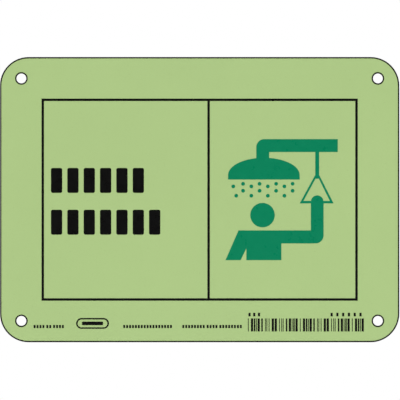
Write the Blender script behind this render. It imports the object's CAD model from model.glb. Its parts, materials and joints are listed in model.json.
"""Looks for a flat glow-in-the-dark wall sign: satin phosphor film, screen-printed inks and a
mill-finish aluminium back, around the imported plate."""

import json
import math

import bpy
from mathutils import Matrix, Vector


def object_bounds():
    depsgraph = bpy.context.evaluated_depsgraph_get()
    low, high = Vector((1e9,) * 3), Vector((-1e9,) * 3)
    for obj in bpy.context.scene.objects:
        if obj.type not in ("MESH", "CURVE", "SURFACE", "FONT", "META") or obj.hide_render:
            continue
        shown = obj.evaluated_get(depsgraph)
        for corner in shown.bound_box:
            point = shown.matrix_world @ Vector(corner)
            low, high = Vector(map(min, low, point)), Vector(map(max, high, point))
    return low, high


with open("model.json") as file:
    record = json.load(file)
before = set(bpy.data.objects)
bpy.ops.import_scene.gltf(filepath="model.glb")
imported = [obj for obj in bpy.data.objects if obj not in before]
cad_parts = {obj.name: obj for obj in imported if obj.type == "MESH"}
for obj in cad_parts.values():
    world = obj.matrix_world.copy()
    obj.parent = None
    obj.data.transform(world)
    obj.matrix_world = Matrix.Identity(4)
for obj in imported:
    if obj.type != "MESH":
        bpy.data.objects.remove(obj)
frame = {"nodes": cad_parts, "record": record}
cad_lo, cad_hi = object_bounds()

MM = 0.001

# Camera: a long lens with the sign almost filling its width, and the framing's small offset
LENS_DISTANCE = 4.0
VIEW_MARGIN = 1.0017
FRAMING_SHIFT = 0.16 * MM

# Floor: its size, where it starts to fade, and how far it lies under the sign
FLOOR_RADIUS = 1.6
FLOOR_FADE = 0.8
FLOOR_DROP = 0.062

# World: how bright the background looks, and how much light it gives
BACKGROUND = 1.0
FILL_LIGHT = 0.12

# Soft round lights that face the sign: name, place, size across, power
LIGHTS = (
    ("key_left", (-1.8, -1.8, 0.9), 1.2, 32.6),
    ("key_right", (1.8, -1.8, 0.9), 1.2, 29.6),
    ("back_key", (1.2, 1.9, 1.4), 1.0, 20),
    ("top", (0, 0, 2.2), 1.4, 20),
)

FILM_GREEN = (0.442, 0.607, 0.251)
INK_GREEN = (0.0001, 0.222, 0.101)
INK_BLACK = (0.0012, 0.0011, 0.0010)

# The range that holds most of a noise's values
NOISE_LOW = 0.3
NOISE_HIGH = 0.7

# Relief: the film's orange peel, its grain, the screen's mesh and the sheet's rolling grain
PEEL_SCALE = 620
PEEL_DEPTH = 0.020 * MM
GRAIN_DEPTH = 0.008 * MM
MESH_DEPTH = 0.004 * MM
SHEET_DEPTH = 0.010 * MM
MESH_TURNS = 2 * math.pi / (0.35 * MM)

# Where the sheared edge changes from burnished to torn, between two distances from the wall
BURNISHED_UNTIL = -0.52 * MM
TORN_FROM = -0.46 * MM


# ---------------------------------------------------------------- material helpers

class Nodes:
    """A small builder for one node material."""

    def __init__(self, name):
        self.material = bpy.data.materials.new(name)
        self.material.use_nodes = True
        self.tree = self.material.node_tree
        self.tree.nodes.clear()
        output = self.tree.nodes.new("ShaderNodeOutputMaterial")
        self.shader = self.tree.nodes.new("ShaderNodeBsdfPrincipled")
        self.tree.links.new(self.shader.outputs[0], output.inputs["Surface"])
        self.place = self.tree.nodes.new("ShaderNodeTexCoord").outputs["Object"]

    def fixed(self, **values):
        """Sets values that are the same all over the surface on the shader's own sockets."""
        for name, value in values.items():
            self.shader.inputs[name.replace("_", " ")].default_value = value

    def drive(self, socket, value):
        self.tree.links.new(value, self.shader.inputs[socket])

    def stretched(self, x, y, z):
        """Object coordinates scaled along each axis."""
        node = self.tree.nodes.new("ShaderNodeMapping")
        node.inputs["Scale"].default_value = (x, y, z)
        self.tree.links.new(self.place, node.inputs["Vector"])
        return node.outputs[0]

    def noise(self, scale, detail=2.0, rough=0.5, distortion=0.0, at=None):
        """Noise from 0 to 1 with about scale features a metre."""
        node = self.tree.nodes.new("ShaderNodeTexNoise")
        node.inputs["Scale"].default_value = scale
        node.inputs["Detail"].default_value = detail
        node.inputs["Roughness"].default_value = rough
        node.inputs["Distortion"].default_value = distortion
        self.tree.links.new(at or self.place, node.inputs["Vector"])
        return node.outputs["Fac"]

    def cells(self, scale):
        """Distance to the nearest cell centre, for grains and specks."""
        node = self.tree.nodes.new("ShaderNodeTexVoronoi")
        node.inputs["Scale"].default_value = scale
        self.tree.links.new(self.place, node.inputs["Vector"])
        return node.outputs["Distance"]

    def ramp(self, value, low, high, to_low=0.0, to_high=1.0, smooth=False):
        """value from low..high carried to to_low..to_high, and held at the ends."""
        node = self.tree.nodes.new("ShaderNodeMapRange")
        node.clamp = True
        node.interpolation_type = "SMOOTHSTEP" if smooth else "LINEAR"
        for name, number in (("From Min", low), ("From Max", high),
                             ("To Min", to_low), ("To Max", to_high)):
            node.inputs[name].default_value = number
        self.tree.links.new(value, node.inputs["Value"])
        return node.outputs[0]

    def spread(self, noise, to_low=0.0, to_high=1.0):
        """A noise's usual range carried to to_low..to_high."""
        return self.ramp(noise, NOISE_LOW, NOISE_HIGH, to_low, to_high)

    def math(self, kind, a, b):
        node = self.tree.nodes.new("ShaderNodeMath")
        node.operation = kind
        for socket, value in zip(node.inputs, (a, b)):
            if isinstance(value, (int, float)):
                socket.default_value = value
            else:
                self.tree.links.new(value, socket)
        return node.outputs[0]

    def blend(self, share, a, b):
        """Value a where share is 0 and b where it is 1."""
        return self.math("ADD", self.math("MULTIPLY", share, b),
                         self.math("MULTIPLY", self.math("SUBTRACT", 1.0, share), a))

    def mix(self, share, a, b):
        """Colour a where share is 0 and b where it is 1; either may be a colour or a socket."""
        node = self.tree.nodes.new("ShaderNodeMix")
        node.data_type = "RGBA"
        self.tree.links.new(share, node.inputs["Factor"])
        for socket, value in ((node.inputs[6], a), (node.inputs[7], b)):
            if isinstance(value, tuple):
                socket.default_value = (*value, 1)
            else:
                self.tree.links.new(value, socket)
        return node.outputs[2]

    def distance(self):
        """Distance from the origin, in metres."""
        node = self.tree.nodes.new("ShaderNodeVectorMath")
        node.operation = "LENGTH"
        self.tree.links.new(self.place, node.inputs[0])
        return node.outputs["Value"]

    def axis(self, name):
        """One coordinate of the place on the object: X, Y or Z, in metres."""
        node = self.tree.nodes.new("ShaderNodeSeparateXYZ")
        self.tree.links.new(self.place, node.inputs[0])
        return node.outputs[name]

    def facing(self, name):
        """How squarely the surface faces along an axis, 0 to 1, in the sign's own frame."""
        geometry = self.tree.nodes.new("ShaderNodeNewGeometry")
        turn = self.tree.nodes.new("ShaderNodeVectorTransform")
        turn.vector_type = "NORMAL"
        turn.convert_from = "WORLD"
        turn.convert_to = "OBJECT"
        split = self.tree.nodes.new("ShaderNodeSeparateXYZ")
        self.tree.links.new(geometry.outputs["Normal"], turn.inputs[0])
        self.tree.links.new(turn.outputs[0], split.inputs[0])
        return self.math("ABSOLUTE", split.outputs[name], 0.0)

    def bump(self, height, depth, strength, normal=None):
        """Fine relief, depth metres deep."""
        node = self.tree.nodes.new("ShaderNodeBump")
        node.inputs["Strength"].default_value = strength
        node.inputs["Distance"].default_value = depth
        self.tree.links.new(height, node.inputs["Height"])
        if normal is not None:
            self.tree.links.new(normal, node.inputs["Normal"])
        self.drive("Normal", node.outputs[0])
        return node.outputs[0]

    def orange_peel(self):
        """The film's faint waviness, which shows through the inks as well."""
        return self.bump(self.noise(PEEL_SCALE, detail=2), PEEL_DEPTH, 0.30)


def shade(color, factor):
    return tuple(min(1.0, c * factor) for c in color)


# ---------------------------------------------------------------- materials

def phosphor_film():
    """Pale green satin film: crystal grain, slight clouding, a few dark specks and a faint
    orange peel."""
    m = Nodes("phosphor_film")
    clouds = m.noise(22, detail=3)
    grain = m.noise(4600, detail=2, rough=0.7)
    crystals = m.ramp(m.cells(3000), 0.12, 0.34)
    specks = m.math("MULTIPLY", m.ramp(m.cells(700), 0.05, 0.16, 1.0, 0.0),
                    m.ramp(m.noise(260), 0.52, 0.60))
    tone = m.mix(m.spread(clouds), shade(FILM_GREEN, 0.985), shade(FILM_GREEN, 1.010))
    tone = m.mix(m.ramp(crystals, 0.0, 1.0, 0.55, 0.0), tone, shade(FILM_GREEN, 1.09))
    tone = m.mix(m.ramp(grain, 0.42, 0.30, 0.0, 0.55), tone, shade(FILM_GREEN, 0.88))
    tone = m.mix(m.ramp(specks, 0.0, 1.0, 0.0, 0.35), tone, shade(FILM_GREEN, 0.62))
    m.drive("Base Color", tone)
    m.drive("Roughness", m.spread(m.noise(150, detail=3, rough=0.6), 0.30, 0.42))
    m.fixed(Specular_IOR_Level=0.32)
    m.bump(grain, GRAIN_DEPTH, 0.35, normal=m.orange_peel())
    return m.material


def screen_ink(name, color):
    """A screen-printed ink film: satin, with the screen's mesh in its surface, a grainy
    lay-down and the film's orange peel showing through."""
    m = Nodes(name)
    lay = m.noise(320, detail=3, rough=0.6)
    fine = m.noise(3400, detail=2, rough=0.7)
    mesh_x = m.math("SINE", m.math("MULTIPLY", m.axis("X"), MESH_TURNS), 0.0)
    mesh_z = m.math("SINE", m.math("MULTIPLY", m.axis("Z"), MESH_TURNS), 0.0)
    mesh = m.ramp(m.math("MULTIPLY", mesh_x, mesh_z), -1.0, 1.0)
    tone = m.mix(m.spread(lay), shade(color, 0.97), shade(color, 1.03))
    tone = m.mix(m.ramp(fine, 0.50, 0.75, 0.0, 0.4), tone, shade(color, 1.25))
    m.drive("Base Color", tone)
    m.drive("Roughness", m.spread(lay, 0.26, 0.36))
    m.fixed(Specular_IOR_Level=0.18)
    m.bump(m.math("ADD", mesh, fine), MESH_DEPTH, 0.5, normal=m.orange_peel())
    return m.material


def white_film():
    """The white vinyl behind the phosphor, which shows only as a thin line at the cut edges."""
    m = Nodes("white_film")
    tone = m.mix(m.noise(900, detail=2), (0.80, 0.81, 0.78), (0.88, 0.89, 0.86))
    m.drive("Base Color", tone)
    m.drive("Roughness", m.spread(m.noise(500), 0.35, 0.5))
    return m.material


def adhesive():
    """Pressure-sensitive adhesive at the cut edge, dulled by dust."""
    m = Nodes("adhesive")
    tone = m.mix(m.noise(1400, detail=3), (0.50, 0.48, 0.41), (0.66, 0.64, 0.56))
    m.drive("Base Color", tone)
    m.drive("Roughness", m.spread(m.noise(700), 0.45, 0.7))
    return m.material


def sheet_aluminium():
    """Mill-finish sheet: rolling grain along X on the back, a sheared edge with a burnished
    band towards the printed side and a torn band behind it."""
    m = Nodes("sheet_aluminium")
    fine = m.noise(1.0, detail=3, rough=0.65, at=m.stretched(45, 1, 5200))
    broad = m.noise(1.0, detail=2, rough=0.5, at=m.stretched(9, 1, 420))
    stains = m.noise(26, detail=4, rough=0.6, distortion=0.4)
    grain = m.math("ADD", m.math("MULTIPLY", fine, 0.6), m.math("MULTIPLY", broad, 0.4))
    back = m.mix(m.ramp(grain, 0.35, 0.65), (0.56, 0.57, 0.58), (0.72, 0.73, 0.74))
    back = m.mix(m.ramp(stains, 0.48, 0.70, 0.0, 0.35, smooth=True), back, (0.50, 0.51, 0.52))

    tear = m.noise(1.0, detail=3, rough=0.7, at=m.stretched(4200, 900, 4200))
    torn = m.ramp(m.axis("Y"), BURNISHED_UNTIL, TORN_FROM)
    burnished = m.mix(m.spread(tear), (0.60, 0.61, 0.62), (0.70, 0.71, 0.72))
    ragged = m.mix(m.spread(tear), (0.42, 0.43, 0.44), (0.66, 0.67, 0.68))
    edge = m.mix(torn, burnished, ragged)

    flat = m.ramp(m.facing("Y"), 0.55, 0.85)
    m.drive("Base Color", m.mix(flat, edge, back))
    rough_back = m.ramp(grain, 0.35, 0.65, 0.30, 0.44)
    rough_edge = m.ramp(torn, 0.0, 1.0, 0.55, 0.66)
    m.drive("Roughness", m.blend(flat, rough_edge, rough_back))
    m.fixed(Metallic=1.0)
    m.bump(m.blend(flat, tear, grain), SHEET_DEPTH, 0.5)
    return m.material


FINISHES = {
    "sheet_aluminium": sheet_aluminium(),
    "adhesive": adhesive(),
    "white_film": white_film(),
    "phosphor_film": phosphor_film(),
    "black_ink": screen_ink("black_ink", INK_BLACK),
    "green_ink": screen_ink("green_ink", INK_GREEN),
}


def dress(node, slot):
    """Gives a CAD node the finish of its slot."""
    piece = frame["nodes"][node]
    piece.data.materials.clear()
    piece.data.materials.append(FINISHES[slot])


for row in frame["record"]["subparts"]:
    dress(row["node"], row["material_slot"])


# ---------------------------------------------------------------- stage, light and camera

def floor_disc(name, radius, z, fade_from, rings=5, sides=96):
    """A round pale floor, well below the sign, that fades out towards its rim."""
    verts = [(0.0, 0.0, z)]
    faces = []
    for r in range(1, rings + 1):
        for s in range(sides):
            a = 2 * math.pi * s / sides
            verts.append((radius * r / rings * math.cos(a), radius * r / rings * math.sin(a), z))
    for s in range(sides):
        faces.append((0, 1 + s, 1 + (s + 1) % sides))
    for r in range(1, rings):
        inner, outer = 1 + (r - 1) * sides, 1 + r * sides
        for s in range(sides):
            t = (s + 1) % sides
            faces.append((inner + s, outer + s, outer + t, inner + t))
    mesh = bpy.data.meshes.new(name)
    mesh.from_pydata(verts, [], faces)
    disc = bpy.data.objects.new(name, mesh)
    bpy.context.scene.collection.objects.link(disc)
    m = Nodes(name)
    m.drive("Base Color", m.mix(m.noise(6, detail=3), (0.78, 0.78, 0.77), (0.82, 0.82, 0.81)))
    m.drive("Alpha", m.ramp(m.distance(), fade_from, radius * 0.97, 1.0, 0.0, smooth=True))
    m.fixed(Roughness=0.7, Specular_IOR_Level=0.2)
    mesh.materials.append(m.material)


def area_light(name, place, size, power):
    """A round soft light that faces the middle of the sign."""
    data = bpy.data.lights.new(name, "AREA")
    data.shape = "DISK"
    data.size = size
    data.energy = power
    lamp = bpy.data.objects.new(name, data)
    lamp.location = place
    aim = Vector() - Vector(place)
    lamp.rotation_mode = "QUATERNION"
    lamp.rotation_quaternion = aim.to_track_quat("-Z", "Y")
    bpy.context.scene.collection.objects.link(lamp)


def studio_world(background, light):
    """White behind the sign, and a softer even light from all round."""
    world = bpy.data.worlds.new("studio")
    bpy.context.scene.world = world
    world.use_nodes = True
    tree = world.node_tree
    tree.nodes.clear()
    output = tree.nodes.new("ShaderNodeOutputWorld")
    choose = tree.nodes.new("ShaderNodeMixShader")
    seen = tree.nodes.new("ShaderNodeBackground")
    lit = tree.nodes.new("ShaderNodeBackground")
    path = tree.nodes.new("ShaderNodeLightPath")
    seen.inputs["Color"].default_value = (1, 1, 1, 1)
    seen.inputs["Strength"].default_value = background
    lit.inputs["Color"].default_value = (1, 1, 1, 1)
    lit.inputs["Strength"].default_value = light
    tree.links.new(path.outputs["Is Camera Ray"], choose.inputs["Fac"])
    tree.links.new(lit.outputs[0], choose.inputs[1])
    tree.links.new(seen.outputs[0], choose.inputs[2])
    tree.links.new(choose.outputs[0], output.inputs["Surface"])


def head_on_camera(width, distance):
    """A long lens that faces the printed side squarely and sees width metres across."""
    data = bpy.data.cameras.new("camera")
    data.sensor_width = 36.0
    data.lens = data.sensor_width * distance / width
    data.clip_start = 0.1
    data.clip_end = 100.0
    camera = bpy.data.objects.new("camera", data)
    face = Vector(((cad_lo.x + cad_hi.x) / 2, cad_lo.y, (cad_lo.z + cad_hi.z) / 2))
    camera.location = face + Vector((FRAMING_SHIFT, -distance, -FRAMING_SHIFT))
    camera.rotation_euler = (math.pi / 2, 0, 0)
    bpy.context.scene.collection.objects.link(camera)
    bpy.context.scene.camera = camera


sign_width = cad_hi.x - cad_lo.x
head_on_camera(sign_width * VIEW_MARGIN, LENS_DISTANCE)
floor_disc("floor", FLOOR_RADIUS, cad_lo.z - FLOOR_DROP, FLOOR_FADE)
studio_world(BACKGROUND, FILL_LIGHT)
for light in LIGHTS:
    area_light(*light)

scene = bpy.context.scene
scene.view_settings.view_transform = "Standard"
scene.view_settings.look = "None"
